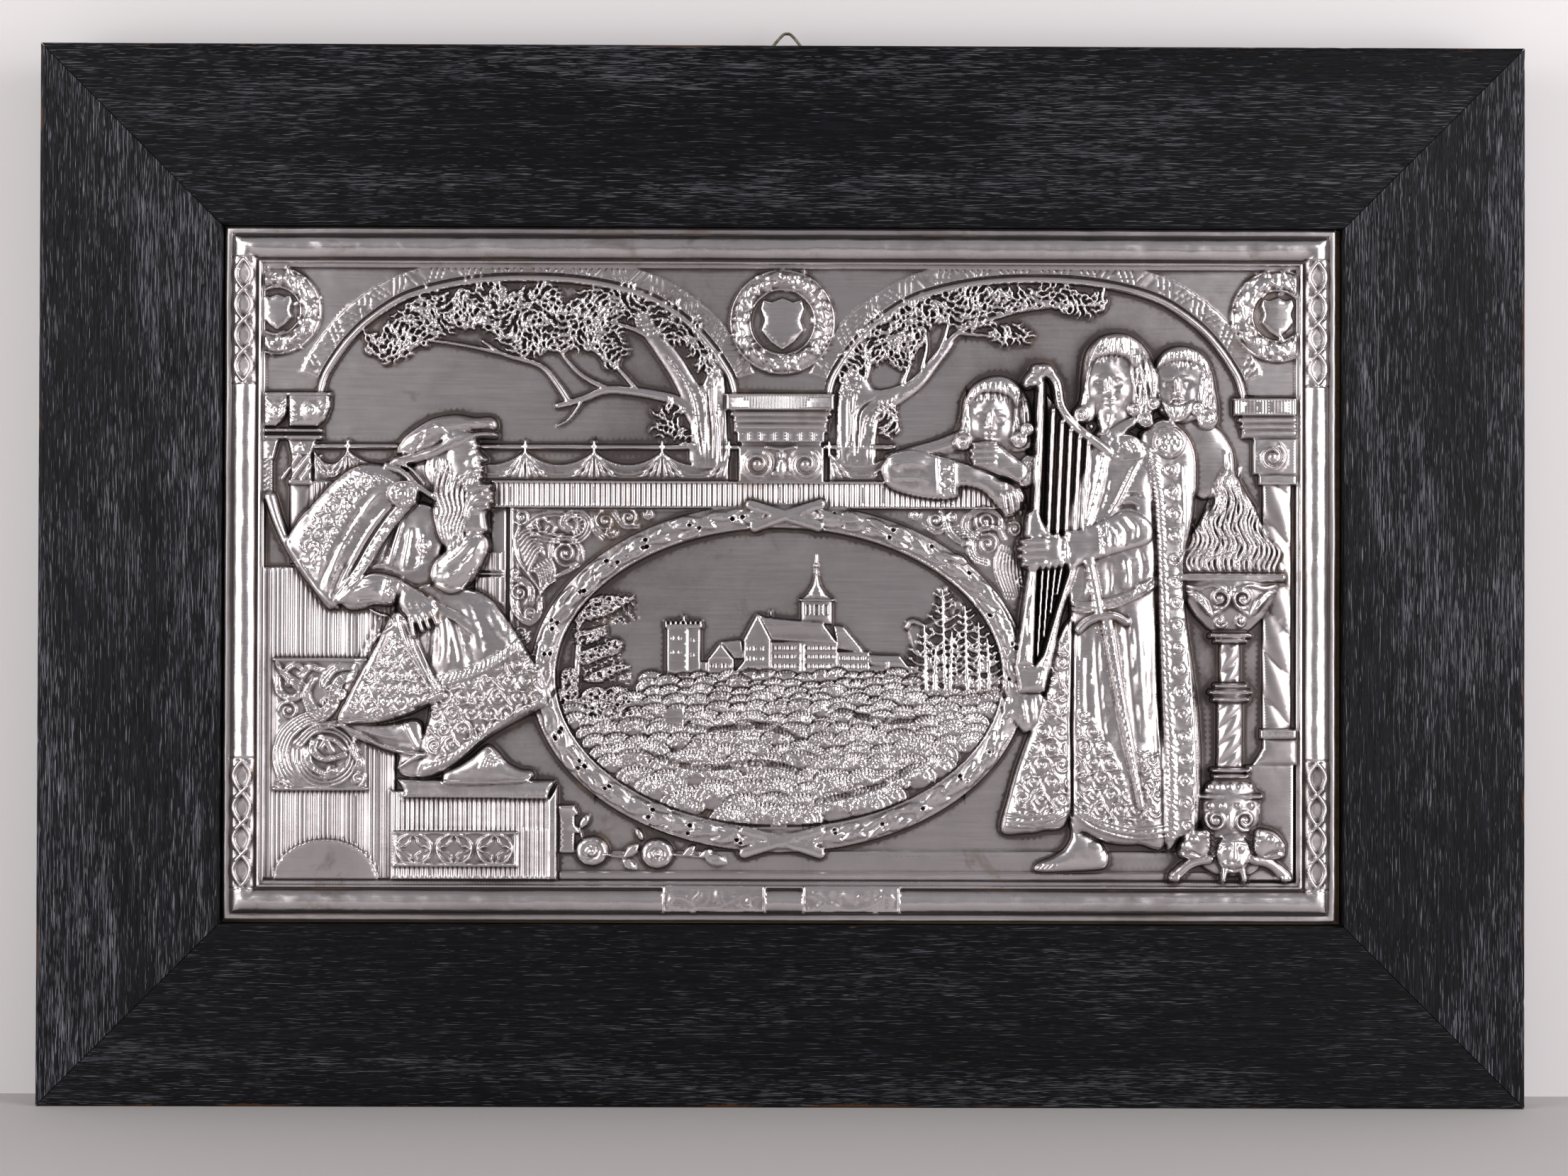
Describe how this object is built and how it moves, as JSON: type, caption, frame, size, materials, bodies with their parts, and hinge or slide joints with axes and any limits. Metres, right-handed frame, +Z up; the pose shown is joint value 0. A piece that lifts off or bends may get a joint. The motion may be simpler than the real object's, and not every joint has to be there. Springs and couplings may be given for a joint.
{
  "type": "framed relief plaque",
  "caption": "Landscape wall plaque in silvered metal relief: a hall with musicians round an oval castle medallion, set in a wide dark oak frame that hangs on a wire ring",
  "frame": {"origin": "the point inside the top of the hanging ring that bears on the hook", "axes": "front of the plaque faces -Y, the wall is on the +Y side, +X is to the viewer's right, +Z is up"},
  "size_m": [0.6304, 0.0273, 0.4599],
  "materials": {
    "ebonised_oak": "dark stained open-grained oak, worn satin",
    "silvered_metal": "silvered relief with dark patina in the hollows and polished high spots",
    "board_wood": "bare thin board",
    "steel_wire": "plain wire and screw heads",
    "brass_strap": "dull sheet brass"
  },
  "bodies": {
    "root": {"frame_rail_top": "ebonised_oak", "frame_rail_bottom": "ebonised_oak", "frame_rail_left": "ebonised_oak", "frame_rail_right": "ebonised_oak", "relief_plaque": "silvered_metal", "backing_board": "board_wood", "hanging_ring": "steel_wire", "hanger_strap": "brass_strap", "hanger_screw_1": "steel_wire", "hanger_screw_2": "steel_wire"}
  },
  "joints": []
}
